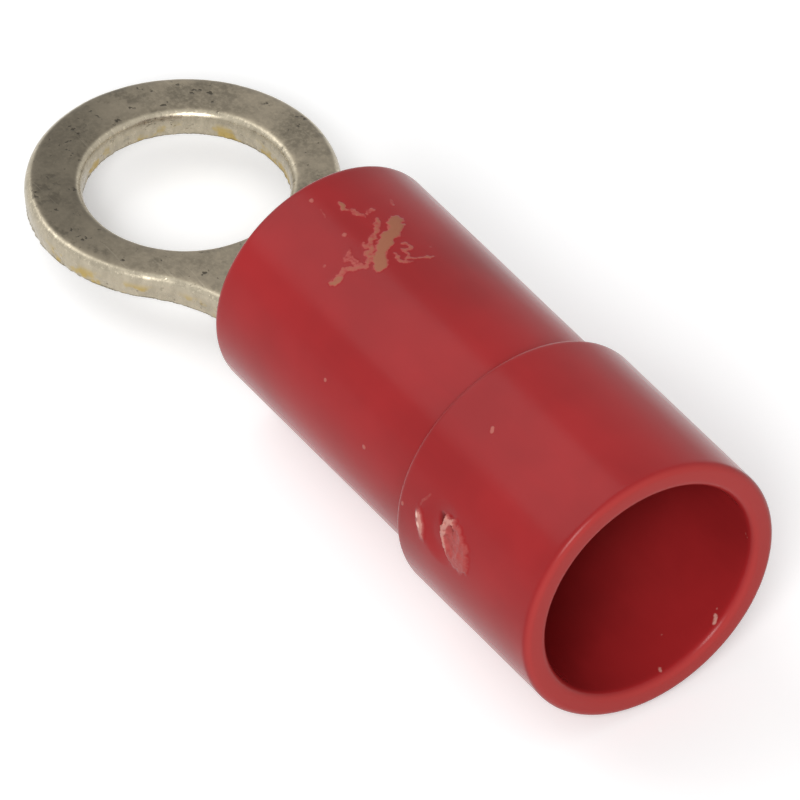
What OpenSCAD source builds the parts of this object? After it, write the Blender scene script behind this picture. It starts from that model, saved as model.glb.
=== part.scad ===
// Insulated ring terminal: a stamped and rolled metal terminal in a moulded two-diameter sleeve.
// The origin is the centre of the stud hole on the underside of the tongue.
// +X runs along the sleeve to the wire entry, +Z is up.

/* [Tongue] */
// Diameter of the stud hole
stud_hole_d = 6.6; // [5.2:0.1:8.4]
// Width of metal at the sides of the stud hole
ring_wall = 1.76; // [1.4:0.02:2.6]
// Extra metal at the tip, by which the outline is off the hole's centre
tip_shift = 0.2; // [0:0.05:0.5]
// Thickness of the sheet
stock_t = 0.95; // [0.75:0.05:1.2]
// Radius of the hollow curve from the ring into the neck
neck_curve_r = 5.2; // [4:0.1:6.5]
// Straight length of the neck, from the hollow curve to where it starts to curl
neck_l = 0.57; // [0.3:0.01:3]
// Radius that the punch leaves on the upper edges
die_roll_r = 0.3; // [0.1:0.01:0.35]

/* [Barrel] */
// Inside diameter of the wire barrel
barrel_id = 4.6; // [3.8:0.1:5.6]
// Length of the closed part of the barrel
barrel_l = 5.9; // [4.5:0.1:9]
// Height of the tongue's underside over the barrel's underside
joggle = 0.8; // [0.6:0.05:1]
// Length over which the flat sheet drops and bends to the barrel's radius
bend_l = 2.6; // [2:0.1:4]
// Length over which the two edges rise and close into the barrel
rise_l = 2.1; // [1.6:0.1:3]
// Gap between the two butted edges
seam_gap = 0.1; // [0.06:0.01:0.2]
// Depth of the countersink at the wire end
countersink = 0.3; // [0.15:0.05:0.5]

/* [Sleeve] */
// Thickness of the sleeve's wall
sleeve_wall = 0.83; // [0.65:0.01:1.1]
// Length of the wide part at the wire entry
mouth_l = 7.1; // [5:0.1:9]
// Step in radius from the narrow part to the wide part
flare = 0.47; // [0.35:0.01:0.7]
// Length of the cone inside, between the two bores
cone_l = 1.4; // [0.8:0.1:2]
// How far the sleeve runs ahead over the start of the curl
front_cover = 0.3; // [0.2:0.05:1]
// How far the narrow part runs past the barrel's wire end
rear_cover = 0.47; // [0.3:0.01:1.5]
// Rounding of the sleeve's outer edges
edge_r = 0.22; // [0.1:0.01:0.3]
// Rounding of the inner edge of the wire entry
lip_r = 0.3; // [0.15:0.01:0.4]
// Diameter of the recess that the gate was broken off in
gate_d = 2.2; // [1.6:0.1:2.6]
// Depth of the recess at its middle
gate_depth = 0.24; // [0.14:0.02:0.34]
// Distance from the step to the middle of the recess
gate_l = 2.3; // [1.6:0.1:3]

/* [Fits] */
// Radial clearance between the barrel and the sleeve
sleeve_clearance = 0.05; // [0.02:0.01:0.12]
// Clearance between the neck's lower corners and the sleeve
neck_clearance = 0.04; // [0.02:0.01:0.05]

/* [Hidden] */
$fn = 96;
METAL = "#b0a898";
SLEEVE = "#a52d30";
EPS = 0.01;        // overrun of a cut
GATE_TURN = 76;    // where the recess lies round the sleeve, from the top towards -Y
STUB_D = 0.9;      // what is left of the gate, in the recess
STUB_SHIFT = 0.5;
STUB_H = 0.14;
LET_IN = 0.25;     // length by which each end of the curl is let into its neighbour
ROOT_SKIN = 0.025; // how far the curl lies under its neighbour's surface where it enters it
TIP_SKIN = 0.2;    // the same at the end of the let-in length

stud_hole_r = stud_hole_d / 2;
ring_r = stud_hole_r + ring_wall;
barrel_ir = barrel_id / 2;
barrel_or = barrel_ir + stock_t;
barrel_mid_r = barrel_ir + stock_t / 2;
bore_r = barrel_or + sleeve_clearance;
mouth_bore_r = bore_r + flare;
narrow_r = bore_r + sleeve_wall;
wide_r = mouth_bore_r + sleeve_wall;

// The sleeve's axis over the tongue's underside
axis_z = barrel_or - joggle;
// Radius that the sheet's edges keep within, and the widest neck that does
pass_r = bore_r - neck_clearance;
neck_half_w = sqrt(pow(pass_r, 2) - pow(axis_z, 2));

// Centre of the hollow curve, which touches both the ring and the side of the neck
curve_y = neck_half_w + neck_curve_r;
curve_x = sqrt(pow(ring_r + neck_curve_r, 2) - pow(curve_y, 2)) - tip_shift;
curve_turn = atan2(curve_y, curve_x + tip_shift);

// Stations along X
curl_x = curve_x + neck_l;
front_x = curl_x + front_cover;
closed_x = curl_x + bend_l + rise_l;
barrel_end_x = closed_x + barrel_l;
step_x = barrel_end_x + rear_cover;
mouth_x = step_x + mouth_l;

// Points of an arc, anticlockwise where to > from
function arc(x, y, r, from, to, steps = 6) =
    [for (i = [0:steps]) let (a = from + (to - from) * i / steps) [x + r * cos(a), y + r * sin(a)]];
function ease(s) = let (c = min(max(s, 0), 1)) c * c * (3 - 2 * c);
function mix(a, b, s) = a + (b - a) * s;

// A closed skin through outlines that all have the same even number of points, the first of them
// clockwise as seen from outside. Its ends are closed by rungs between the outline's first point and
// its last, its second and the last but one, and so on.
module loft(sections) {
    n = len(sections[0]);
    last = len(sections) - 1;
    rungs = [for (i = [0:n / 2 - 2]) [i, i + 1, n - 2 - i, n - 1 - i]];
    polyhedron(
        points = [for (s = sections) each s],
        faces = concat(
            rungs,
            [for (r = rungs) [for (i = [3:-1:0]) last * n + r[i]]],
            [for (k = [0:last - 1], i = [0:n - 1])
                let (j = (i + 1) % n) [k * n + i, (k + 1) * n + i, (k + 1) * n + j, k * n + j]]
        )
    );
}

// ---- terminal ----

// The tongue seen from above, anticlockwise from the tip, with its edges drawn in by inset
RING_STEPS = 36;   // divisions of each side of the ring
CURVE_STEPS = 12;
half_step = (180 - curve_turn) / (2 * RING_STEPS + 1);
function tongue_outline(inset) = concat(
    arc(-tip_shift, 0, ring_r - inset, 180 + half_step, 360 - curve_turn, RING_STEPS),
    [for (i = [1:CURVE_STEPS]) curve_point(inset, -1, i)],
    [[curl_x, inset - neck_half_w], [curl_x, neck_half_w - inset]],
    [for (i = [CURVE_STEPS:-1:1]) curve_point(inset, 1, i)],
    arc(-tip_shift, 0, ring_r - inset, curve_turn, 180 - half_step, RING_STEPS)
);
function curve_point(inset, side, i) =
    let (a = mix(180 - curve_turn, 90, i / CURVE_STEPS), r = neck_curve_r + inset)
    [curve_x + r * cos(a), side * (curve_y - r * sin(a))];

// The flat sheet of the tongue, with the rolled upper edge as a quarter round
ROLL_STEPS = 4;
module tongue_sheet() {
    layers = concat(
        [[for (p = tongue_outline(0)) [p[0], p[1], 0]]],
        [for (k = [0:ROLL_STEPS])
            let (a = 90 * k / ROLL_STEPS, z = stock_t - die_roll_r + die_roll_r * sin(a))
            [for (p = tongue_outline(die_roll_r * (1 - cos(a)))) [p[0], p[1], z]]]
    );
    loft(layers);
}

module tongue() {
    difference() {
        tongue_sheet();
        translate([0, 0, -EPS]) cylinder(h = stock_t + 2 * EPS, r = stud_hole_r);
        // the rolled edge of the stud hole
        rotate_extrude() difference() {
            translate([stud_hole_r - EPS, stock_t - die_roll_r]) square(die_roll_r + EPS);
            translate([stud_hole_r + die_roll_r, stock_t - die_roll_r]) circle(die_roll_r);
        }
    }
}

// The sheet's cross-section, flat: u runs across it, v through its thickness. Its upper edges are
// rolled and every side lies skin under the true surface. The lower points run from left to right
// and the upper ones back again, at the same places across.
CURL_STEPS = 24;   // divisions across the sheet, between its rolled edges
CURL_STATIONS = 18;
function flat_section(half_w, skin) =
    let (
        w = half_w - skin,
        t = stock_t / 2 - skin,
        r = max(die_roll_r - skin, EPS),
        across = concat(
            [for (a = [0, 30, 60]) r * (1 - cos(a)) - w],
            [for (i = [0:CURL_STEPS]) mix(r - w, w - r, i / CURL_STEPS)],
            [for (a = [60, 30, 0]) w - r * (1 - cos(a))]
        )
    )
    concat(
        [for (u = across) [u, -t]],
        [for (i = [len(across) - 1:-1:0])
            let (u = across[i], past = max(abs(u) - (w - r), 0))
            [u, t - r + sqrt(max(r * r - past * past, 0))]]
    );

// A flat section bent upwards to a curvature, with the middle of its floor at height z
function bent_section(x, z, curvature, half_w, skin) =
    [for (p = flat_section(half_w, skin))
        let (a = curvature * p[0] * 180 / PI, rho = 1 / curvature - p[1])
        [x, rho * sin(a), z + 1 / curvature - rho * cos(a)]];

// Height of the floor's middle. The floor drops as soon as its edges have risen enough to pass
// through the sleeve's bore, and it drops no further than the floor of the barrel.
function floor_z(curvature, half_w) =
    let (
        edge_turn = min(curvature * half_w * 180 / PI, 90),
        edge_rho = 1 / curvature + stock_t / 2,
        below = sqrt(max(pow(pass_r, 2) - pow(edge_rho * sin(edge_turn), 2), 0))
    )
    axis_z + max(-barrel_mid_r, edge_rho * cos(edge_turn) - 1 / curvature - below);

FLAT = 0.0005;       // curvature that counts as flat
BENT_WIDTH = 1.15;   // width of the sheet where it is first fully bent, over the neck's
RISE_START = 0.7;    // share of the bend after which the edges start to rise
full_curvature = 1 / barrel_mid_r;
closed_half_w = PI * barrel_mid_r - seam_gap / 2;
function curl_section(x, skin = 0) =
    let (
        bend = ease((x - curl_x) / bend_l),
        rise_x = curl_x + RISE_START * bend_l,
        rise = ease((x - rise_x) / (closed_x - rise_x)),
        curvature = mix(FLAT, full_curvature, bend),
        half_w = mix(mix(neck_half_w, neck_half_w * BENT_WIDTH, bend), closed_half_w, rise)
    )
    bent_section(x, floor_z(curvature, half_w), curvature, half_w, skin);

// The lofted sheet between the flat tongue and the closed barrel
module curl() {
    span = bend_l + rise_l;
    sections = concat(
        [[for (p = curl_section(curl_x, TIP_SKIN)) [p[0] - LET_IN, p[1], p[2]]]],
        [curl_section(curl_x, ROOT_SKIN)],
        [for (i = [1:CURL_STATIONS - 1]) curl_section(curl_x + span * i / CURL_STATIONS)],
        [curl_section(closed_x, ROOT_SKIN)],
        [[for (p = curl_section(closed_x, TIP_SKIN)) [p[0] + LET_IN, p[1], p[2]]]]
    );
    loft(sections);
}

// The closed part, with its butted edges on top and the countersink at the wire end
module barrel() {
    gap_turn = asin(seam_gap / 2 / barrel_mid_r);
    translate([closed_x, 0, axis_z]) rotate([0, 90, 0])
        rotate([0, 0, 180 + gap_turn]) rotate_extrude(angle = 360 - 2 * gap_turn)
            polygon([[barrel_ir, 0], [barrel_or, 0], [barrel_or, barrel_l],
                [barrel_ir + countersink, barrel_l], [barrel_ir, barrel_l - countersink]]);
}

module terminal() {
    color(METAL) union() {
        tongue();
        curl();
        barrel();
    }
}

// ---- sleeve ----

// Half-section, with the radius across and the distance from the front end upwards
module sleeve_profile() {
    step_y = step_x - front_x;
    end_y = mouth_x - front_x;
    polygon(concat(
        [[bore_r, 0]],
        arc(narrow_r - edge_r, edge_r, edge_r, -90, 0),
        [[narrow_r, step_y]],
        arc(wide_r - edge_r, step_y + edge_r, edge_r, -90, 0),
        arc(wide_r - edge_r, end_y - edge_r, edge_r, 0, 90),
        arc(mouth_bore_r + lip_r, end_y - lip_r, lip_r, 90, 180),
        [[mouth_bore_r, step_y + cone_l / 2 + EPS], [bore_r, step_y - cone_l / 2 + EPS]]
    ));
}

// Puts what stands on the XY plane onto the floor of the gate's recess
module at_gate() {
    translate([step_x + gate_l, 0, axis_z]) rotate([GATE_TURN, 0, 0])
        translate([0, 0, wide_r - gate_depth]) children();
}

module sleeve() {
    color(SLEEVE) union() {
        difference() {
            translate([front_x, 0, axis_z]) rotate([0, 90, 0]) rotate_extrude() sleeve_profile();
            at_gate() cylinder(h = gate_depth + 1, d = gate_d);
        }
        at_gate() translate([STUB_SHIFT, 0, -EPS]) cylinder(h = STUB_H + EPS, d = STUB_D);
    }
}

terminal();
sleeve();
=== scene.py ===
"""Builds an insulated ring terminal: a stamped and rolled tinned terminal in a moulded sleeve."""

import math

import bpy
import numpy as np
from bpy.props import FloatProperty, FloatVectorProperty, IntProperty, PointerProperty
from mathutils import Matrix, Vector, noise


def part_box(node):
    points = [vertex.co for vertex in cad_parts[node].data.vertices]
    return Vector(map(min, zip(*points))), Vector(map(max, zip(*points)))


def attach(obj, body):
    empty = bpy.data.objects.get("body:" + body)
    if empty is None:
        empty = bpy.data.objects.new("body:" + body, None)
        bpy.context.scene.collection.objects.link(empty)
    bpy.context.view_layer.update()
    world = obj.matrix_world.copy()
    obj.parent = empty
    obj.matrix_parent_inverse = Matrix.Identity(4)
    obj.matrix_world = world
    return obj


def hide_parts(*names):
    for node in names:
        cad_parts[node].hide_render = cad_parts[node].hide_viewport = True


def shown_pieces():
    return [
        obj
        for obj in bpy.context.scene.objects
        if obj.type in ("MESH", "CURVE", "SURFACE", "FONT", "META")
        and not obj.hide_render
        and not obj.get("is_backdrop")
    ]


bl_info = {
    "name": "Insulated Ring Terminal",
    "version": (1, 0, 0),
    "blender": (4, 5, 0),
    "location": "3D View > Sidebar > Ring Terminal",
    "description": "Builds a crimp ring terminal with a stepped plastic sleeve",
    "category": "Add Mesh",
}

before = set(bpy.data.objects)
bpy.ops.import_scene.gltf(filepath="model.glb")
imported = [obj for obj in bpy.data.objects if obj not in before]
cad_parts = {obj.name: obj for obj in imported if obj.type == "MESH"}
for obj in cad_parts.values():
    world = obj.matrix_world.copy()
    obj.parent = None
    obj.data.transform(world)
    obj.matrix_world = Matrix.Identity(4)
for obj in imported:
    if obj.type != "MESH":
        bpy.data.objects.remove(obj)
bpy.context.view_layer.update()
SLEEVE_LOW, SLEEVE_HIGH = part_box("sleeve")
METAL_LOW, METAL_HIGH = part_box("terminal")
MM = 0.001
WHITE = (1.0, 1.0, 1.0, 1.0)
RELIEF = 0.04 * MM  # height that a bump of 1 stands for


# ---------------------------------------------------------------- sizes and colours

class SleeveSizes(bpy.types.PropertyGroup):
    """Sizes of the moulded sleeve."""
    front_x: FloatProperty(
        name="Front end", description="Where the sleeve starts along X",
        default=SLEEVE_LOW.x, subtype="DISTANCE", unit="LENGTH")
    step_x: FloatProperty(
        name="Step", description="Where the narrow part meets the wide part",
        default=18.598 * MM, subtype="DISTANCE", unit="LENGTH")
    mouth_x: FloatProperty(
        name="Mouth", description="Where the sleeve ends along X",
        default=SLEEVE_HIGH.x, subtype="DISTANCE", unit="LENGTH")
    axis_height: FloatProperty(
        name="Axis height", description="Height of the sleeve's axis over the tongue's underside",
        default=2.45 * MM, subtype="DISTANCE", unit="LENGTH")
    narrow_radius: FloatProperty(
        name="Narrow radius", description="Outer radius of the narrow part",
        default=4.13 * MM, subtype="DISTANCE", unit="LENGTH")
    wide_radius: FloatProperty(
        name="Wide radius", description="Outer radius of the wide part",
        default=4.6 * MM, subtype="DISTANCE", unit="LENGTH")
    bore_radius: FloatProperty(
        name="Bore radius", description="Inner radius round the wire barrel",
        default=3.3 * MM, subtype="DISTANCE", unit="LENGTH")
    mouth_radius: FloatProperty(
        name="Mouth radius", description="Inner radius of the wire entry",
        default=3.77 * MM, subtype="DISTANCE", unit="LENGTH")
    cone_length: FloatProperty(
        name="Cone length", description="Length of the cone between the two bores",
        default=1.4 * MM, subtype="DISTANCE", unit="LENGTH")
    edge_round: FloatProperty(
        name="Edge rounding", description="Rounding of the outer edges",
        default=0.24 * MM, subtype="DISTANCE", unit="LENGTH")
    lip_round: FloatProperty(
        name="Lip rounding", description="Rounding of the inner edge of the wire entry",
        default=0.3 * MM, subtype="DISTANCE", unit="LENGTH")
    corner_round: FloatProperty(
        name="Corner rounding", description="Fillet in the corner at the foot of the step",
        default=0.12 * MM, subtype="DISTANCE", unit="LENGTH")
    gate_x: FloatProperty(
        name="Gate place", description="Middle of the gate's recess along X",
        default=20.9 * MM, subtype="DISTANCE", unit="LENGTH")
    gate_turn: FloatProperty(
        name="Gate turn",
        description="Where the gate lies round the sleeve, from the top towards +Y",
        default=math.radians(-76), subtype="ANGLE", unit="ROTATION")
    gate_radius: FloatProperty(
        name="Gate radius", description="Radius of the recess that the gate was broken off in",
        default=1.1 * MM, subtype="DISTANCE", unit="LENGTH")
    gate_depth: FloatProperty(
        name="Gate depth", description="Depth of the recess under the sleeve's surface",
        default=0.1 * MM, subtype="DISTANCE", unit="LENGTH")
    steps_round: IntProperty(
        name="Steps round", description="Divisions of the sleeve round its axis",
        default=224, min=48, max=320)


class TerminalSizes(bpy.types.PropertyGroup):
    """How the metal is meshed and weathered."""
    voxel: FloatProperty(
        name="Mesh size", description="Size of the mesh's squares on the metal",
        default=0.085 * MM, subtype="DISTANCE", unit="LENGTH")
    smoothing: IntProperty(
        name="Smoothing", description="Rounds of smoothing, which round the rolled upper edges",
        default=34, min=0, max=60)
    unevenness: FloatProperty(
        name="Unevenness", description="How far the tinned faces wander from flat",
        default=0.012 * MM, subtype="DISTANCE", unit="LENGTH")
    burr: FloatProperty(
        name="Burr", description="How far the torn lower half of the sheared edge is drawn in",
        default=0.09 * MM, subtype="DISTANCE", unit="LENGTH")


class Finishes(bpy.types.PropertyGroup):
    """Colours of the two finishes and of the marks on them."""
    sleeve: FloatVectorProperty(
        name="Sleeve", description="Colour of the moulded nylon",
        default=(0.36, 0.02, 0.022), subtype="COLOR", min=0, max=1)
    tin_top: FloatVectorProperty(
        name="Dull tin", description="Colour of the weathered faces of the sheet",
        default=(0.195, 0.168, 0.125), subtype="COLOR", min=0, max=1)
    tin_edge: FloatVectorProperty(
        name="Bright tin", description="Colour of the rolled and sheared edges",
        default=(0.42, 0.372, 0.282), subtype="COLOR", min=0, max=1)
    stain: FloatVectorProperty(
        name="Stain", description="Colour of the straw-coloured patches on the sheared edges",
        default=(0.46, 0.33, 0.09), subtype="COLOR", min=0, max=1)
    residue: FloatVectorProperty(
        name="Residue", description="Colour of the dried smear on the sleeve",
        default=(0.35, 0.135, 0.075), subtype="COLOR", min=0, max=1)
    # Paler than the sleeve: painted light on the end face round the wire entry
    lit_end_face: FloatVectorProperty(
        name="End face", description="Colour of the sleeve's end round the wire entry",
        default=(0.5, 0.055, 0.05), subtype="COLOR", min=0, max=1)
    thin_smear: FloatVectorProperty(
        name="Thin smear", description="Colour of the nylon under the thin parts of the smear",
        default=(0.6, 0.17, 0.14), subtype="COLOR", min=0, max=1)
    speck: FloatVectorProperty(
        name="Speck", description="Colour of the specks on the sleeve",
        default=(0.52, 0.16, 0.13), subtype="COLOR", min=0, max=1)
    scuff: FloatVectorProperty(
        name="Scuff", description="Colour of the scuffed nylon at the gate",
        default=(0.6, 0.2, 0.175), subtype="COLOR", min=0, max=1)
    # Painted highlight: the pale colour on the lit crest of the gate's break and on the lip's top
    crest: FloatVectorProperty(
        name="Crest", description="Colour of the whitened crest of the gate's break",
        default=(0.75, 0.42, 0.34), subtype="COLOR", min=0, max=1)
    # Painted highlight: the colour of the small glints on the gate's knobs and in the wire entry
    glint: FloatVectorProperty(
        name="Glint", description="Colour of the palest nicks",
        default=(0.95, 0.62, 0.52), subtype="COLOR", min=0, max=1)


class StageSettings(bpy.types.PropertyGroup):
    """The floor, the camera and the light."""
    floor_tilt: FloatProperty(
        name="Floor tilt",
        description="Slope of the floor that the sleeve rests on, rising towards -X",
        default=math.atan2(0.47, 10.77), subtype="ANGLE", unit="ROTATION")
    azimuth: FloatProperty(
        name="Azimuth", description="Turn of the camera round the part from the -Y side",
        default=math.radians(56), subtype="ANGLE", unit="ROTATION")
    elevation: FloatProperty(
        name="Elevation", description="Height of the camera over the horizon",
        default=math.radians(41), subtype="ANGLE", unit="ROTATION")
    distance: FloatProperty(
        name="Distance", description="Distance of the camera from the part",
        default=0.377, subtype="DISTANCE", unit="LENGTH")
    key_power: FloatProperty(
        name="Key lamp", description="Power of the main soft lamp",
        default=0.37, subtype="POWER", unit="POWER")
    key_place: FloatVectorProperty(
        name="Key lamp's place", description="Where the main soft lamp hangs",
        default=(-0.20, -0.10, 0.26), subtype="TRANSLATION", unit="LENGTH")
    key_size: FloatProperty(
        name="Key lamp's size", description="Width of the main soft lamp",
        default=0.28, subtype="DISTANCE", unit="LENGTH")
    fill_power: FloatProperty(
        name="Fill lamp", description="Power of the second soft lamp",
        default=0.68, subtype="POWER", unit="POWER")
    fill_place: FloatVectorProperty(
        name="Fill lamp's place", description="Where the second soft lamp hangs",
        default=(0.215, -0.19, 0.2), subtype="TRANSLATION", unit="LENGTH")
    fill_size: FloatProperty(
        name="Fill lamp's size", description="Width of the second soft lamp",
        default=0.12, subtype="DISTANCE", unit="LENGTH")
    sky: FloatProperty(
        name="Sky", description="Strength of the plain light from all round",
        default=0.38, min=0, max=2)


# ---------------------------------------------------------------- shader sums

class Value:
    """An output of a shader node, on which sums are written as on a number."""

    def __init__(self, shader, socket):
        self.shader = shader
        self.socket = socket

    def __add__(self, other):
        return self.shader.maths("ADD", self, other)

    def __radd__(self, other):
        return self.shader.maths("ADD", other, self)

    def __sub__(self, other):
        return self.shader.maths("SUBTRACT", self, other)

    def __rsub__(self, other):
        return self.shader.maths("SUBTRACT", other, self)

    def __mul__(self, other):
        return self.shader.maths("MULTIPLY", self, other)

    def __rmul__(self, other):
        return self.shader.maths("MULTIPLY", other, self)


class Shader:
    """The nodes of a material, a lamp or the world."""

    def __init__(self, owner):
        owner.use_nodes = True
        self.tree = owner.node_tree
        self.tree.nodes.clear()

    def node(self, kind, settings=None, sockets=None, out=0):
        """Adds a node, sets its settings, then feeds its sockets, and gives one of its outputs."""
        made = self.tree.nodes.new("ShaderNode" + kind)
        for name, value in (settings or {}).items():
            setattr(made, name, value)
        for key, value in (sockets or {}).items():
            if isinstance(value, Value):
                self.tree.links.new(value.socket, made.inputs[key])
            else:
                made.inputs[key].default_value = value
        return Value(self, made.outputs[out]) if len(made.outputs) else None

    def maths(self, operation, *terms):
        return self.node("Math", {"operation": operation}, dict(enumerate(terms)))

    def moved(self, place, shift):
        """The place shifted, so that a noise there differs from the same noise elsewhere."""
        return self.node("VectorMath", {"operation": "ADD"}, {0: place, 1: shift})

    def millimetres(self):
        """The place on the part, in millimetres."""
        place = self.node("TexCoord", out="Object")
        return self.node("VectorMath", {"operation": "SCALE"}, {"Vector": place, "Scale": 1000.0})

    def rays(self, *names):
        """1 for light paths of any of the named kinds, and 0 for the rest."""
        path = self.node("LightPath").socket.node
        kinds = [Value(self, path.outputs[name]) for name in names]
        seen = kinds[0]
        for kind in kinds[1:]:
            seen = self.maths("MAXIMUM", seen, kind)
        return seen

    def split(self, vector):
        axes = self.node("SeparateXYZ", sockets={"Vector": vector}).socket.node
        return [Value(self, axes.outputs[i]) for i in range(3)]

    def join(self, x, y, z):
        return self.node("CombineXYZ", sockets={"X": x, "Y": y, "Z": z})

    def ramp(self, value, low, high, start=0.0, end=1.0):
        """Goes smoothly from start to end as the value goes from low to high."""
        return self.node(
            "MapRange", {"interpolation_type": "SMOOTHSTEP", "clamp": True},
            {"Value": value, "From Min": low, "From Max": high, "To Min": start, "To Max": end})

    def noise(self, place, size, detail, roughness):
        """Cloudy noise whose lumps are about size across."""
        return self.node("TexNoise", None, {
            "Vector": place, "Scale": 1.0 / size, "Detail": detail, "Roughness": roughness})

    def mixed(self, amount, first, second):
        """Mixes two colours, whose sockets on the node are reached by number."""
        made = self.node("Mix", {"data_type": "RGBA"}).socket.node
        for key, value in ((0, amount), (6, first), (7, second)):
            if isinstance(value, Value):
                self.tree.links.new(value.socket, made.inputs[key])
            else:
                made.inputs[key].default_value = value
        return Value(self, made.outputs[2])

    def mark(self, name):
        """How deep a place lies in a mark that was laid on the mesh."""
        return self.node("Attribute", {"attribute_name": name}, out="Fac")

    def surface(self, shader):
        self.node("OutputMaterial", None, {"Surface": shader})


def rgba(colour, strength=1.0):
    return (colour[0] * strength, colour[1] * strength, colour[2] * strength, 1.0)


# ---------------------------------------------------------------- mesh work

def let_go():
    """Leaves edit mode and deselects everything."""
    if bpy.context.object and bpy.context.object.mode != "OBJECT":
        bpy.ops.object.mode_set(mode="OBJECT")
    bpy.ops.object.select_all(action="DESELECT")


def pick(piece):
    let_go()
    piece.select_set(True)
    bpy.context.view_layer.objects.active = piece


def points(piece):
    flat = np.empty(len(piece.data.vertices) * 3, np.float32)
    piece.data.vertices.foreach_get("co", flat)
    return flat.reshape(-1, 3).astype(float)


def place_points(piece, places, low, high):
    """Moves the piece's vertices, and keeps them within a box."""
    inside = np.clip(places, np.array(low), np.array(high))
    piece.data.vertices.foreach_set("co", inside.astype(np.float32).ravel())
    piece.data.update()


def normals(piece):
    flat = np.empty(len(piece.data.vertices) * 3, np.float32)
    piece.data.vertices.foreach_get("normal", flat)
    return flat.reshape(-1, 3).astype(float)


def lumps(places, size, seed=0.0, layers=3):
    """Noise from about -1 to 1 at each place, with lumps about size across."""
    shift = Vector((seed, seed * 1.7, -seed))
    return np.array([noise.fractal(Vector(p) / size + shift, 0.6, 2.0, layers) for p in places])


def eased(values, low, high):
    """Goes smoothly from 0 to 1 as the values go from low to high."""
    s = np.clip((values - low) / (high - low), 0, 1)
    return s * s * (3 - 2 * s)


def arc(x, r, radius, start, end, steps):
    """Points of an arc on the sleeve's profile, with angles in degrees from +X towards outwards."""
    turns = [math.radians(start + (end - start) * i / steps) for i in range(steps + 1)]
    return [(x + radius * math.cos(a), r + radius * math.sin(a)) for a in turns]


def stretch(start, end, spacing):
    """The points between two places on the profile, without the places themselves."""
    length = math.dist(start, end)
    count = max(1, round(length / spacing))
    dx, dr = end[0] - start[0], end[1] - start[1]
    return [(start[0] + dx * i / count, start[1] + dr * i / count) for i in range(1, count)]


# ---------------------------------------------------------------- metal terminal

# In millimetres: where the flat tongue ends along X, the height at which its rolled edge starts
# and the height over which it sets in, and the heights between which the torn part of its
# sheared edge sets in, going down
TONGUE_END = 8.0
ROLL_START, ROLL_DEPTH = 0.3, 0.3
TEAR_START, TEAR_FULL = 0.42, 0.2

# Painted shade: the ring's faces are painted darker towards one side. The way towards its bright
# side along X and Y, and how far from the hole's middle the painted shade is full, in millimetres
SHADE_WAY, SHADE_REACH = (0.56, 0.83), 4.3


def tinned_copper(finish):
    """Hot-tinned sheet: dull and blotched on its faces, brighter where it was sheared."""
    material = bpy.data.materials.new("tinned_copper")
    s = Shader(material)
    place = s.millimetres()
    x, y, z = s.split(place)
    up = s.maths("ABSOLUTE", s.split(s.node("NewGeometry", out="Normal"))[2])

    # how far the surface is one of the sheet's faces, or a sheared wall
    face = s.ramp(up, 0.80, 0.985)
    wall = s.ramp(up, 0.55, 0.12)

    # weathered faces, with painted shade towards one side
    cloud = s.noise(place, 1.6, 4.0, 0.62)
    grain = s.noise(place, 0.16, 3.0, 0.7)
    blotch = s.noise(s.moved(place, (7.3, 2.1, 0.4)), 0.75, 4.0, 0.68)
    pit = s.ramp(s.noise(s.moved(place, (1.3, 9.1, 3.4)), 0.3, 2.0, 0.6), 0.64, 0.71)
    # painted shade towards one side of the ring, which also deepens the blotches there
    shaded_side = s.ramp(x * SHADE_WAY[0] + y * SHADE_WAY[1], 0.0, -SHADE_REACH)
    dark = s.ramp(blotch, 0.54, 0.68) * (0.6 + shaded_side * 0.7)
    top = s.mixed(s.ramp(cloud, 0.32, 0.68), rgba(finish.tin_top, 0.74), rgba(finish.tin_top, 1.3))
    top = s.mixed(s.ramp(grain, 0.38, 0.72) * 0.45, top, rgba(finish.tin_top, 1.8))
    top = s.mixed(dark * 0.55, top, rgba(finish.tin_top, 0.34))
    top = s.mixed(shaded_side * 0.6, top, rgba(finish.tin_top, 0.42))
    top = s.mixed(pit * 0.8, top, rgba(finish.tin_top, 0.2))

    # bright edges, with the drag marks of the die across them
    around = s.maths("ARCTAN2", y, x)
    drag = s.noise(s.join(around * 5.0, z * 0.6, 0.0), 0.34, 3.0, 0.6)
    edge = s.mixed(s.ramp(drag, 0.3, 0.7), rgba(finish.tin_edge, 0.88), rgba(finish.tin_edge, 1.1))
    # pale tin specks on the rolled edges, partly real and partly a painted highlight
    speck = s.ramp(s.noise(place, 0.11, 2.0, 0.6), 0.55, 0.72)
    edge = s.mixed(speck * (1.0 - wall) * 0.6, edge, rgba(finish.tin_edge, 1.75))
    edge = s.mixed(pit * 0.35, edge, rgba(finish.tin_top, 0.5))
    stain_cloud = s.noise(s.moved(place, (3.0, 5.0, 1.0)), 0.9, 3.0, 0.6)
    stain = s.ramp(stain_cloud, 0.5, 0.63) * wall * s.ramp(z, 0.62, 0.3)
    edge = s.mixed(stain * 0.8, edge, rgba(finish.stain))

    colour = s.mixed(face, edge, top)
    rough = s.ramp(grain, 0.3, 0.75, 0.26, 0.4) + face * 0.16 + stain * 0.12 - speck * 0.05

    # long thin scratches across the faces
    scratch_place = s.node("Mapping", {"vector_type": "POINT"}, {
        "Vector": place, "Rotation": (0.0, 0.0, 0.7), "Scale": (0.22, 5.0, 1.0)})
    scratch = s.ramp(s.noise(scratch_place, 0.7, 2.0, 0.5), 0.66, 0.72) * face
    colour = s.mixed(scratch * 0.22, colour, rgba(finish.tin_edge, 0.8))

    height = cloud * 0.5 + grain * 0.22 - pit * 0.45 - dark * 0.15 - scratch * 0.12
    height = height + s.ramp(drag, 0.2, 0.8) * wall * 0.1
    bump = s.node("Bump", None, {"Strength": 0.55, "Distance": RELIEF, "Height": height})
    shader = s.node("BsdfPrincipled", None, {
        "Base Color": colour, "Metallic": 1.0, "Roughness": rough, "Normal": bump})
    s.surface(shader)
    return material


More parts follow.
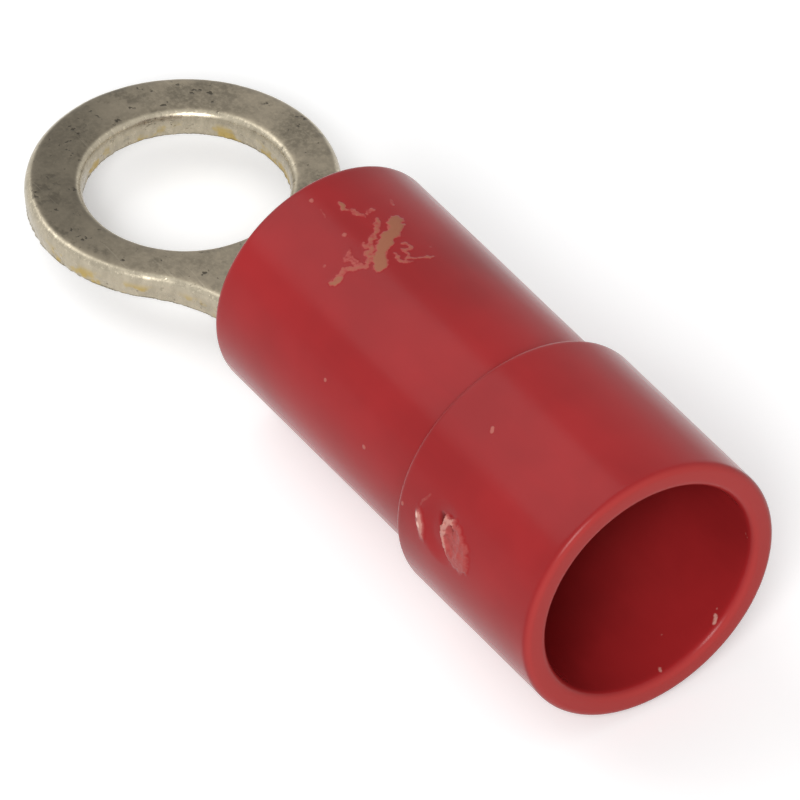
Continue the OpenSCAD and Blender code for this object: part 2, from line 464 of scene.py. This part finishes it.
class RINGTERMINAL_OT_metal(bpy.types.Operator):
    """Builds the stamped tongue, its curl and the wire barrel"""
    bl_idname = "ringterminal.metal"
    bl_label = "Metal Terminal"
    bl_options = {"REGISTER", "UNDO"}

    def execute(self, context):
        sizes = context.scene.terminal_sizes
        piece = bpy.data.objects.new("metal_terminal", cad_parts["terminal"].data.copy())
        context.scene.collection.objects.link(piece)
        pick(piece)
        bpy.ops.object.mode_set(mode="EDIT")
        bpy.ops.mesh.select_all(action="SELECT")
        bpy.ops.mesh.remove_doubles(threshold=0.001 * MM)
        bpy.ops.object.mode_set(mode="OBJECT")

        even = piece.modifiers.new("Even mesh", "REMESH")
        even.mode = "VOXEL"
        even.voxel_size = sizes.voxel
        bpy.ops.object.modifier_apply(modifier=even.name)
        rolled = piece.vertex_groups.new(name="rolled")
        for vertex in piece.data.vertices:
            x, _, z = vertex.co / MM
            if z > ROLL_START and x < TONGUE_END:
                share = min((z - ROLL_START) / ROLL_DEPTH, 1.0)
                rolled.add([vertex.index], share, "REPLACE")
        softenings = (("Even out", 3, ""), ("Rolled edges", sizes.smoothing, rolled.name))
        for name, rounds, group in softenings:
            soften = piece.modifiers.new(name, "SMOOTH")
            soften.factor = 0.5
            soften.iterations = rounds
            soften.vertex_group = group
            bpy.ops.object.modifier_apply(modifier=soften.name)
        piece.vertex_groups.clear()

        self.weather(piece, sizes)
        bpy.ops.object.shade_smooth()
        piece.data.materials.clear()
        piece.data.materials.append(tinned_copper(context.scene.finishes))
        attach(piece, "root")
        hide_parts("terminal")
        return {"FINISHED"}

    def weather(self, piece, sizes):
        """Makes the surface slightly uneven, and tears the lower half of the sheared edge."""
        places = points(piece)
        out = normals(piece)
        places -= out * (lumps(places, 1.1 * MM, 2.0) * 0.5 + 0.5)[:, None] * sizes.unevenness
        side = eased(np.hypot(out[:, 0], out[:, 1]), 0.5, 0.9)
        side = side * (places[:, 0] < TONGUE_END * MM)
        low = eased(places[:, 2], TEAR_START * MM, TEAR_FULL * MM)
        torn = lumps(places * np.array((1, 1, 0.35)), 0.55 * MM, 5.0, 4) * 0.5 + 0.42
        places -= out * (side * low * np.clip(torn, 0, 1) * sizes.burr)[:, None]
        place_points(piece, places, METAL_LOW, METAL_HIGH)


# ---------------------------------------------------------------- sleeve

FRONT_ROUND = 0.1 * MM  # rounding of the inner edge at the front end


def sleeve_profile(sizes):
    """The closed outline of the wall, as points of distance along X and radius."""
    front, step, mouth = sizes.front_x, sizes.step_x, sizes.mouth_x
    narrow, wide = sizes.narrow_radius, sizes.wide_radius
    bore, entry = sizes.bore_radius, sizes.mouth_radius
    edge, lip, corner = sizes.edge_round, sizes.lip_round, sizes.corner_round
    half_cone = sizes.cone_length / 2
    # each run of points, with the spacing in millimetres of the points on to the next run
    runs = [
        (arc(front + FRONT_ROUND, bore + FRONT_ROUND, FRONT_ROUND, -90, -180, 4), 0.15),
        (arc(front + edge, narrow - edge, edge, 180, 90, 7), 0.14),
        (arc(step - corner, narrow + corner, corner, -90, 0, 5), 0.1),
        (arc(step + edge, wide - edge, edge, 180, 90, 7), 0.11),
        (arc(mouth - edge, wide - edge, edge, 90, 0, 7), 0.12),
        (arc(mouth - lip, entry + lip, lip, 0, -90, 8), 0.22),
        ([(step + half_cone, entry)], 0.22),
        ([(step - half_cone, bore)], 0.35),
    ]
    profile = []
    for (run, spacing), (following, _) in zip(runs, runs[1:] + runs[:1]):
        profile += run + stretch(run[-1], following[0], spacing * MM)
    return profile


# Marks on the sleeve. Each goes through points given as millimetres along X and degrees round the
# sleeve from its top towards +Y, and has a half width and a strength.
SMEARS = [
    ([(10.9, 9), (11.3, 5), (11.5, -1), (11.8, -6), (12.1, -11), (12.4, -13)], 0.17, 1.0),
    ([(10.6, 2), (11.1, -3), (11.3, -7), (11.7, -12), (12.0, -15)], 0.11, 0.66),
    ([(11.4, -11)], 0.11, 0.6),
    ([(12.1, -18), (11.9, -21), (11.5, -26), (11.6, -29)], 0.1, 0.62),
    ([(11.7, -31), (11.7, -32)], 0.13, 0.8),
    ([(11.2, -19), (11.7, -20), (12.0, -19)], 0.1, 0.5),
    ([(9.3, -4), (9.6, -5)], 0.1, 0.75),
    ([(9.6, -5), (10.0, -3), (10.2, -1)], 0.06, 0.6),
    ([(10.2, 2), (10.2, 5)], 0.09, 0.55),
    ([(12.0, 3), (12.3, 4), (12.3, 0), (12.7, 0), (12.9, 4), (12.9, 9)], 0.06, 0.62),
    ([(12.3, -5), (12.6, -4), (12.9, 0)], 0.06, 0.6),
]
NARROW_SPECKS = [
    ([(8.6, -13)], 0.07, 0.8), ([(13.6, -66)], 0.06, 0.9), ([(16.1, -78)], 0.07, 0.9),
    ([(10.5, -14)], 0.08, 0.7), ([(11.0, -30)], 0.07, 0.5), ([(12.5, 12)], 0.06, 0.5),
    ([(9.9, 16), (10.1, 15)], 0.07, 0.5), ([(9.1, -13), (9.5, -14)], 0.03, 0.5),
]
WIDE_SPECKS = [
    ([(20.5, -30), (20.6, -31)], 0.06, 0.9), ([(18.9, -79)], 0.07, 0.7),
    ([(19.7, -73), (19.8, -70), (20.0, -66)], 0.05, 0.45), ([(20.2, -73), (20.3, -70)], 0.05, 0.3),
]
# Painted highlights in the wire entry, laid as glints with no shape of their own
MOUTH_GLINTS = [
    ([(25.4, 137), (25.3, 134)], 0.07, 0.55), ([(25.4, 171), (25.3, 170)], 0.05, 0.5),
    ([(25.2, 131)], 0.045, 0.45), ([(24.3, 158)], 0.04, 0.4),
    ([(25.4, 88), (25.3, 86)], 0.035, 0.4),
]
# Each set of marks is laid in a layer, in this order. Smears wander from their lines, in
# millimetres, and the small marks hardly do.
LAYERS = ("smear", "speck", "speck", "glint")
WANDER = {"smear": 0.15, "speck": 0.04, "glint": 0.04}

# In millimetres from the sleeve's axis: past OUTSIDE a place is on the outer surface, past
# WIDE_OUTSIDE on that of the wide part, and short of INSIDE in the wire entry
OUTSIDE, WIDE_OUTSIDE, INSIDE = 3.95, 4.3, 4.1
SINKS_PAST = 3.9  # the radius past which the moulding sinks a little
SKIN = 0.2  # how near the wide radius a place is on the skin round the gate

# In millimetres: how far round the gate and the marks the mesh is divided more finely, and how
# far round them places are worked out
FINE_GATE, FINE_MARK = 1.75, 0.4
GATE_REACH, MARK_REACH = 1.9, 1.2

# Parts of the gate's break, each with its place from the middle of the recess, in millimetres
# along X and round the sleeve, and its half sizes
STUB = (0.76, 0.0), (0.74, 0.68)
LIP = (-1.14, -0.35), (0.23, 0.6)
KNOBS = ((-1.24, -0.12), (0.12, 0.14)), ((-1.2, -0.4), (0.12, 0.14))
NOTCH = (0.62, 0.42), (0.14, 0.14)
PIT = (0.0, 0.3), (0.22, 0.36)
SLANT = 0.4  # how far the parts lean along X for each millimetre round the sleeve

# How high they stand or how deep they lie, in millimetres
STUB_RISE, STUB_GRIT, CREST_RISE, LIP_RISE, KNOB_RISE = 0.08, 0.03, 0.1, 0.055, 0.035
NOTCH_DEPTH, PIT_DEPTH = 0.1, 0.08
DISH_SLOPE = 0.65  # width of the slope round the recess
SINK, SMEAR_RISE = 0.012, 0.012  # of the moulding's faces, and of the dried smear


def line_gap(x, y, reach, line):
    """Distance of each place from a mark's middle line, in millimetres."""
    spots = [(spot[0], math.radians(spot[1]) * reach) for spot in line]
    gap = np.full(len(x), 1e3)
    for (x0, y0), (x1, y1) in zip(spots, spots[1:] or spots):
        dx, dy = x1 - x0, y1 - y0
        share = np.clip(((x - x0) * dx + (y - y0) * dy) / max(dx * dx + dy * dy, 1e-6), 0, 1)
        gap = np.minimum(gap, np.hypot(x - x0 - share * dx, y - y0 - share * dy))
    return gap


def mark_gap(x, y, reach, marks):
    """Distance of each place from the nearest mark's middle line, in millimetres."""
    gap = np.full(len(x), 1e3)
    for line, _, _ in marks:
        gap = np.minimum(gap, line_gap(x, y, reach, line))
    return gap


def mark_depth(x, y, reach, marks):
    """How deep each place lies in a mark: the mark's strength inside it, falling to 0 outside."""
    depth = np.zeros(len(x))
    for line, half, strength in marks:
        inside = np.clip((1.7 - line_gap(x, y, reach, line) / half) / 0.9, 0, 1)
        depth = np.maximum(depth, strength * inside)
    return depth


def moulded_nylon(sizes, finish):
    """Satin nylon with faint flow marks, a dried smear and the scuffed break of the gate."""
    material = bpy.data.materials.new("moulded_nylon")
    s = Shader(material)
    place = s.millimetres()
    x, y, z = s.split(place)
    turn = s.maths("ARCTAN2", y, z - sizes.axis_height / MM)
    mouth_x = sizes.mouth_x / MM

    cloud = s.noise(place, 5.0, 3.0, 0.5)
    flow = s.noise(s.join(x * 0.16, turn * 4.3, 0.0), 0.5, 3.0, 0.6)
    fine = s.noise(place, 0.09, 2.0, 0.5)
    body = s.mixed(s.ramp(cloud, 0.3, 0.7), rgba(finish.sleeve, 0.86), rgba(finish.sleeve, 1.1))
    body = s.mixed(s.ramp(flow, 0.4, 0.75) * 0.1, body, rgba(finish.sleeve, 1.25))
    # the end face: its paler colour is painted light, its added roughness a duller moulded finish
    rim = s.ramp(x, mouth_x - 0.2, mouth_x - 0.02)
    body = s.mixed(rim * 0.8, body, rgba(finish.lit_end_face))

    # the marks that were laid on the mesh, with their edges broken up
    ragged = s.noise(place, 0.2, 3.0, 0.7)

    def broken(name, grit, low, high):
        """A mark whose edge is broken up by the grit, and which ends where none was laid."""
        mark = s.mark(name)
        return s.ramp(mark + (ragged - 0.5) * grit, low, high) * s.ramp(mark, 0.0, 0.15)

    smear = broken("smear", 0.8, 0.2, 0.95)
    speck = broken("speck", 0.5, 0.3, 0.8)
    scuff = broken("scuff", 0.35, 0.1, 1.0)
    glint = broken("glint", 0.0, 0.2, 0.8)

    thin = s.mixed(0.45, body, rgba(finish.thin_smear))
    film = s.ramp(smear, 0.0, 0.5) * s.ramp(ragged, 0.3, 0.6, 0.5, 1.0)
    colour = s.mixed(film, body, thin)
    colour = s.mixed(s.ramp(smear, 0.4, 1.0) * 0.92, colour, rgba(finish.residue))
    colour = s.mixed(speck * 0.75, colour, rgba(finish.speck))
    colour = s.mixed(scuff * 0.6, colour, rgba(finish.scuff))
    # painted highlight: palest colour on the lit crest of the gate's break and on the lip's top
    colour = s.mixed(s.ramp(scuff, 0.75, 1.0) * 0.45, colour, rgba(finish.crest))
    # painted highlight: pale glints on the gate's knobs and in the wire entry
    colour = s.mixed(glint * 0.8, colour, rgba(finish.glint))
    colour = s.mixed(s.mark("shade") * 0.8, colour, rgba(finish.sleeve, 0.2))

    flow = flow * (1 - rim)
    rough = s.ramp(flow, 0.3, 0.75, 0.19, 0.25) + rim * 0.08
    rough = rough + smear * 0.3 + scuff * 0.12 + speck * 0.15
    height = flow * 0.03 + fine * 0.04 + cloud * 0.8
    height = height + smear * 0.8 + speck * 0.7 + scuff * ragged * 0.3
    bump = s.node("Bump", None, {"Strength": 0.5, "Distance": RELIEF, "Height": height})
    shader = s.node("BsdfPrincipled", None, {
        "Base Color": colour, "Roughness": rough, "IOR": 1.5,
        "Specular IOR Level": 0.13, "Normal": bump})
    s.surface(shader)
    return material


class RINGTERMINAL_OT_sleeve(bpy.types.Operator):
    """Builds the moulded sleeve with its step, wire entry and gate mark"""
    bl_idname = "ringterminal.sleeve"
    bl_label = "Insulating Sleeve"
    bl_options = {"REGISTER", "UNDO"}

    def execute(self, context):
        sizes = context.scene.sleeve_sizes
        profile = sleeve_profile(sizes)
        let_go()
        bpy.ops.mesh.primitive_plane_add(
            size=MM, location=(profile[0][0], 0, sizes.axis_height + profile[0][1]))
        piece = context.object
        piece.name = piece.data.name = "insulating_sleeve"
        bpy.ops.object.mode_set(mode="EDIT")
        bpy.ops.mesh.select_all(action="SELECT")
        bpy.ops.mesh.merge(type="CENTER")
        for here, there in zip(profile, profile[1:] + profile[:1]):
            bpy.ops.mesh.extrude_vertices_move(
                TRANSFORM_OT_translate={"value": (there[0] - here[0], 0, there[1] - here[1])})
        bpy.ops.mesh.select_all(action="SELECT")
        bpy.ops.mesh.spin(
            steps=sizes.steps_round, angle=2 * math.pi,
            center=(0, 0, sizes.axis_height), axis=(1, 0, 0))
        bpy.ops.mesh.select_all(action="SELECT")
        bpy.ops.mesh.remove_doubles(threshold=0.002 * MM)
        bpy.ops.mesh.normals_make_consistent(inside=False)
        bpy.ops.object.mode_set(mode="OBJECT")
        bpy.ops.object.transform_apply(location=True, rotation=True, scale=True)

        self.refine(piece, sizes)
        self.shape(piece, sizes)
        bpy.ops.object.shade_smooth_by_angle(angle=math.radians(50))
        piece.data.materials.append(moulded_nylon(sizes, context.scene.finishes))
        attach(piece, "root")
        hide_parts("sleeve")
        return {"FINISHED"}

    def round_places(self, places, sizes):
        """Distance along X, turn from the top towards +Y, and radius of each place."""
        up = places[:, 2] - sizes.axis_height
        return places[:, 0], np.arctan2(places[:, 1], up), np.hypot(places[:, 1], up)

    def refine(self, piece, sizes):
        """Divides the mesh more finely round the gate and the marks."""
        centres = np.array([polygon.center for polygon in piece.data.polygons])
        along, turn, radius = self.round_places(centres, sizes)
        x, wide = along / MM, sizes.wide_radius / MM
        far = np.hypot(x - sizes.gate_x / MM, (turn - sizes.gate_turn) * wide)
        near = (far < FINE_GATE) & (radius > WIDE_OUTSIDE * MM)
        for marks, reach, here in self.mark_sets(x, radius, sizes):
            near |= here & (mark_gap(x, turn * reach, reach, marks) < FINE_MARK)
        pick(piece)
        bpy.ops.object.mode_set(mode="EDIT")
        bpy.ops.mesh.select_mode(type="FACE")
        bpy.ops.mesh.select_all(action="DESELECT")
        bpy.ops.object.mode_set(mode="OBJECT")
        piece.data.polygons.foreach_set("select", near)
        bpy.ops.object.mode_set(mode="EDIT")
        bpy.ops.mesh.subdivide(number_cuts=2)
        bpy.ops.object.mode_set(mode="OBJECT")

    def mark_sets(self, x, radius, sizes):
        """Each set of marks with the radius it lies on and the places that it can reach."""
        step = sizes.step_x / MM
        narrow, wide, mouth = (
            size / MM for size in (sizes.narrow_radius, sizes.wide_radius, sizes.mouth_radius))
        on_narrow = (radius > OUTSIDE * MM) & (x < step)
        on_wide = (radius > WIDE_OUTSIDE * MM) & (x > step)
        in_mouth = (radius < INSIDE * MM) & (x > step + 2)
        return ((SMEARS, narrow, on_narrow), (NARROW_SPECKS, narrow, on_narrow),
                (WIDE_SPECKS, wide, on_wide), (MOUTH_GLINTS, mouth, in_mouth))

    def shape(self, piece, sizes):
        """Moves the surface for the moulding and its marks, and lays the marks on the mesh."""
        places = points(piece)
        along, turn, radius = self.round_places(places, sizes)
        x = along / MM
        laid = {name: np.zeros(len(places)) for name in (*LAYERS, "scuff", "shade")}
        for (marks, reach, here), name in zip(self.mark_sets(x, radius, sizes), LAYERS):
            near = np.where(here & (mark_gap(x, turn * reach, reach, marks) < MARK_REACH))[0]
            near_x = x[near] + lumps(places[near], 0.5 * MM, 6.0) * WANDER[name]
            near_y = turn[near] * reach + lumps(places[near], 0.5 * MM, 7.0) * WANDER[name]
            depth = mark_depth(near_x, near_y, reach, marks)
            laid[name][near] = np.maximum(laid[name][near], depth)

        # the points that were added between two others go back on to the circle
        step = 2 * math.pi / sizes.steps_round
        bulge = radius * (np.cos(np.mod(turn, step) - step / 2) / math.cos(step / 2) - 1)
        soft = lumps(places, 4.0 * MM, 1.0, 2) * 0.5 + 0.5
        move = -SINK * soft * (radius > SINKS_PAST * MM) + self.gate(laid, places, sizes)
        move = move + SMEAR_RISE * np.minimum(laid["smear"], 1)
        out = np.stack([np.zeros(len(places)), np.sin(turn), np.cos(turn)], axis=1)
        moved = places + out * (bulge + move * MM)[:, None]
        place_points(piece, moved, SLEEVE_LOW, SLEEVE_HIGH)
        for name, depth in laid.items():
            mark = piece.data.attributes.new(name, "FLOAT", "POINT")
            mark.data.foreach_set("value", depth.astype(np.float32))

    def gate(self, laid, places, sizes):
        """Rise of each place for the recess and the broken gate, which are also laid as marks."""
        along, turn, radius = self.round_places(places, sizes)
        gate_x = along / MM - sizes.gate_x / MM
        gate_y = (turn - sizes.gate_turn) * sizes.wide_radius / MM
        far = np.hypot(gate_x, gate_y)
        skin = np.abs(radius - sizes.wide_radius) < SKIN * MM
        near = np.where(skin & (far < GATE_REACH))[0]
        grit = np.zeros(len(places))
        grit[near] = lumps(places[near], 0.2 * MM, 3.0, 4)

        def oval(spot, size):
            """Distance from the middle of a part, which is 1 at its edge."""
            across = (gate_x + gate_y * SLANT - spot[0]) / size[0]
            return np.hypot(across, (gate_y - spot[1]) / size[1])

        dish = eased(far, sizes.gate_radius / MM, sizes.gate_radius / MM - DISH_SLOPE)
        stub = oval(*STUB) + grit * 0.16
        edge = eased(stub, 1.18, 0.95) * eased(stub, 0.5, 0.85)
        crest = edge * eased(gate_x, 1.0, 0.2)
        notch = eased(oval(*NOTCH), 1.0, 0.3)
        pit = eased(oval(*PIT), 1.0, 0.3) * eased(stub, 0.9, 1.1)
        lip = eased(oval(*LIP) + grit * 0.15, 1.1, 0.4)
        knobs = sum(eased(oval(*knob), 1.1, 0.2) for knob in KNOBS)
        # the scuff runs highest on the lit crest and the lip's top, which are painted as highlight
        scuff = np.maximum(0.55 * eased(stub, 1.15, 0.9), 1.1 * crest)
        laid["scuff"] += skin * np.maximum(scuff, 0.9 * lip)
        # painted highlight on the knobs
        laid["glint"] += skin * knobs
        laid["shade"] += skin * np.maximum(notch, pit)

        rise = eased(stub, 1.12, 0.8) * (STUB_RISE + STUB_GRIT * grit)
        rise = rise + CREST_RISE * crest + LIP_RISE * lip + KNOB_RISE * knobs
        sunk = NOTCH_DEPTH * notch + PIT_DEPTH * pit + sizes.gate_depth / MM * dish
        return skin * (rise - sunk)


# ---------------------------------------------------------------- stage

# A point of the floor, just under the lower edge of the sleeve's step, and the floor's width
FLOOR_PLACE, FLOOR_SIZE = (18.6 * MM, 0, -2.16 * MM), 3.0
FLOOR_SHADE = (0.56, 0.56, 0.57, 1.0)  # the floor's colour in the light that it throws back
FLOOR_GLOW = 0.27  # brings the floor to white where it is seen or mirrored

LAMP_AIM = (10 * MM, 0, 0)
VIEW_AIM = (10 * MM, 0, 2 * MM)  # where the camera starts to look for the part's middle
VIEW_FILL = (0.935, 0.90)  # how much of the picture's width and height the part may fill
VIEW_SHIFT = (-0.0025, 0.0037)  # how far right and up of the middle it lies, in picture widths
SENSOR = 36.0  # in millimetres


def camera_axes(stage):
    """Right, up and back of the camera."""
    a, e = stage.azimuth, stage.elevation
    back = Vector((math.sin(a) * math.cos(e), -math.cos(a) * math.cos(e), math.sin(e)))
    right = Vector((0, 0, 1)).cross(back).normalized()
    return right, back.cross(right), back


class RINGTERMINAL_OT_stage(bpy.types.Operator):
    """Sets the floor, the soft lamps and the camera"""
    bl_idname = "ringterminal.stage"
    bl_label = "Stage"
    bl_options = {"REGISTER", "UNDO"}

    def execute(self, context):
        stage = context.scene.stage_settings
        self.floor(stage)
        self.sky(context, stage)
        self.lamp("key_lamp", stage.key_place, stage.key_size, stage.key_power)
        self.lamp("fill_lamp", stage.fill_place, stage.fill_size, stage.fill_power)
        self.camera(context, stage)
        context.scene.view_settings.view_transform = "Standard"
        return {"FINISHED"}

    def floor(self, stage):
        """A white floor through the two edges that the sleeve rests on."""
        let_go()
        bpy.ops.mesh.primitive_plane_add(
            size=FLOOR_SIZE, location=FLOOR_PLACE, rotation=(0, stage.floor_tilt, 0))
        piece = bpy.context.object
        piece.name = "floor"
        bpy.ops.object.transform_apply(location=True, rotation=True, scale=True)
        material = bpy.data.materials.new("white_floor")
        s = Shader(material)
        plain = s.node("BsdfDiffuse", None, {"Color": FLOOR_SHADE})
        bright = s.node("BsdfDiffuse", None, {"Color": WHITE})
        glow = s.node("Emission", None, {"Color": WHITE, "Strength": FLOOR_GLOW})
        seen = s.rays("Is Camera Ray", "Is Glossy Ray")
        both = s.node("AddShader", None, {0: bright, 1: glow})
        s.surface(s.node("MixShader", None, {0: seen, 1: plain, 2: both}))
        piece.data.materials.append(material)
        piece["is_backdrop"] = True

    def sky(self, context, stage):
        """Plain light from all round, white where it is seen or mirrored."""
        world = bpy.data.worlds.new("sky")
        context.scene.world = world
        s = Shader(world)
        seen = s.rays("Is Camera Ray", "Is Glossy Ray", "Is Transmission Ray")
        light = s.node("Background", None, {"Color": WHITE, "Strength": stage.sky})
        white = s.node("Background", None, {"Color": WHITE, "Strength": 1.0})
        mixed = s.node("MixShader", None, {0: seen, 1: light, 2: white})
        s.node("OutputWorld", None, {"Surface": mixed})

    def lamp(self, name, place, size, power):
        """A square soft lamp that faces the middle of the part."""
        let_go()
        bpy.ops.object.light_add(type="AREA", location=place)
        lamp = bpy.context.object
        lamp.name = name
        lamp.data.size = size
        lamp.data.energy = power
        lamp.rotation_mode = "QUATERNION"
        lamp.rotation_quaternion = (Vector(LAMP_AIM) - Vector(place)).to_track_quat("-Z", "Y")

    def camera(self, context, stage):
        """A long lens, aimed and zoomed so that the part fills the square picture."""
        right, up, back = camera_axes(stage)
        shown = [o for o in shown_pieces() if o.type == "MESH" and not o.hide_render]
        places = np.concatenate([points(piece) for piece in shown])
        target = np.array(VIEW_AIM)
        axes = np.array((right, up, back))
        for _ in range(4):
            seen = (places - target) @ axes.T
            flat = seen[:, :2] / (stage.distance - seen[:, 2:])
            low, high = flat.min(0), flat.max(0)
            middle = (low + high) / 2 * stage.distance
            target = target + middle @ axes[:2]
        reach = max((high - low) / np.array(VIEW_FILL))
        shift = np.array(VIEW_SHIFT) * reach * stage.distance
        target = target - shift[0] * axes[0] - shift[1] * axes[1]
        bpy.ops.object.camera_add()
        camera = context.object
        camera.name = "camera"
        camera.data.sensor_width = SENSOR
        camera.data.lens = SENSOR / reach
        camera.data.clip_start = 0.01
        camera.data.clip_end = 10.0
        place = Vector(target) + back * stage.distance
        turned = Matrix((right, up, back)).transposed().to_4x4()
        camera.matrix_world = Matrix.Translation(place) @ turned
        context.scene.camera = camera


# ---------------------------------------------------------------- panel

class RINGTERMINAL_PT_sidebar(bpy.types.Panel):
    """Lists the operators and their settings"""
    bl_label = "Ring Terminal"
    bl_idname = "RINGTERMINAL_PT_sidebar"
    bl_space_type = "VIEW_3D"
    bl_region_type = "UI"
    bl_category = "Ring Terminal"

    def draw(self, context):
        for operator in OPERATORS:
            self.layout.operator(operator.bl_idname)
        for name in GROUPS:
            group = getattr(context.scene, name)
            box = self.layout.box()
            for prop in group.bl_rna.properties:
                if prop.identifier not in {"rna_type", "name"}:
                    box.prop(group, prop.identifier)


GROUPS = {
    "sleeve_sizes": SleeveSizes,
    "terminal_sizes": TerminalSizes,
    "finishes": Finishes,
    "stage_settings": StageSettings,
}
OPERATORS = (RINGTERMINAL_OT_metal, RINGTERMINAL_OT_sleeve, RINGTERMINAL_OT_stage)


def register():
    for group in GROUPS.values():
        bpy.utils.register_class(group)
    for name, group in GROUPS.items():
        setattr(bpy.types.Scene, name, PointerProperty(type=group))
    for operator in OPERATORS:
        bpy.utils.register_class(operator)
    bpy.utils.register_class(RINGTERMINAL_PT_sidebar)


def unregister():
    bpy.utils.unregister_class(RINGTERMINAL_PT_sidebar)
    for operator in reversed(OPERATORS):
        bpy.utils.unregister_class(operator)
    for name in GROUPS:
        delattr(bpy.types.Scene, name)
    for group in reversed(list(GROUPS.values())):
        bpy.utils.unregister_class(group)


def main():
    register()
    bpy.ops.ringterminal.metal()
    bpy.ops.ringterminal.sleeve()
    bpy.ops.ringterminal.stage()


if __name__ == "__main__":
    main()
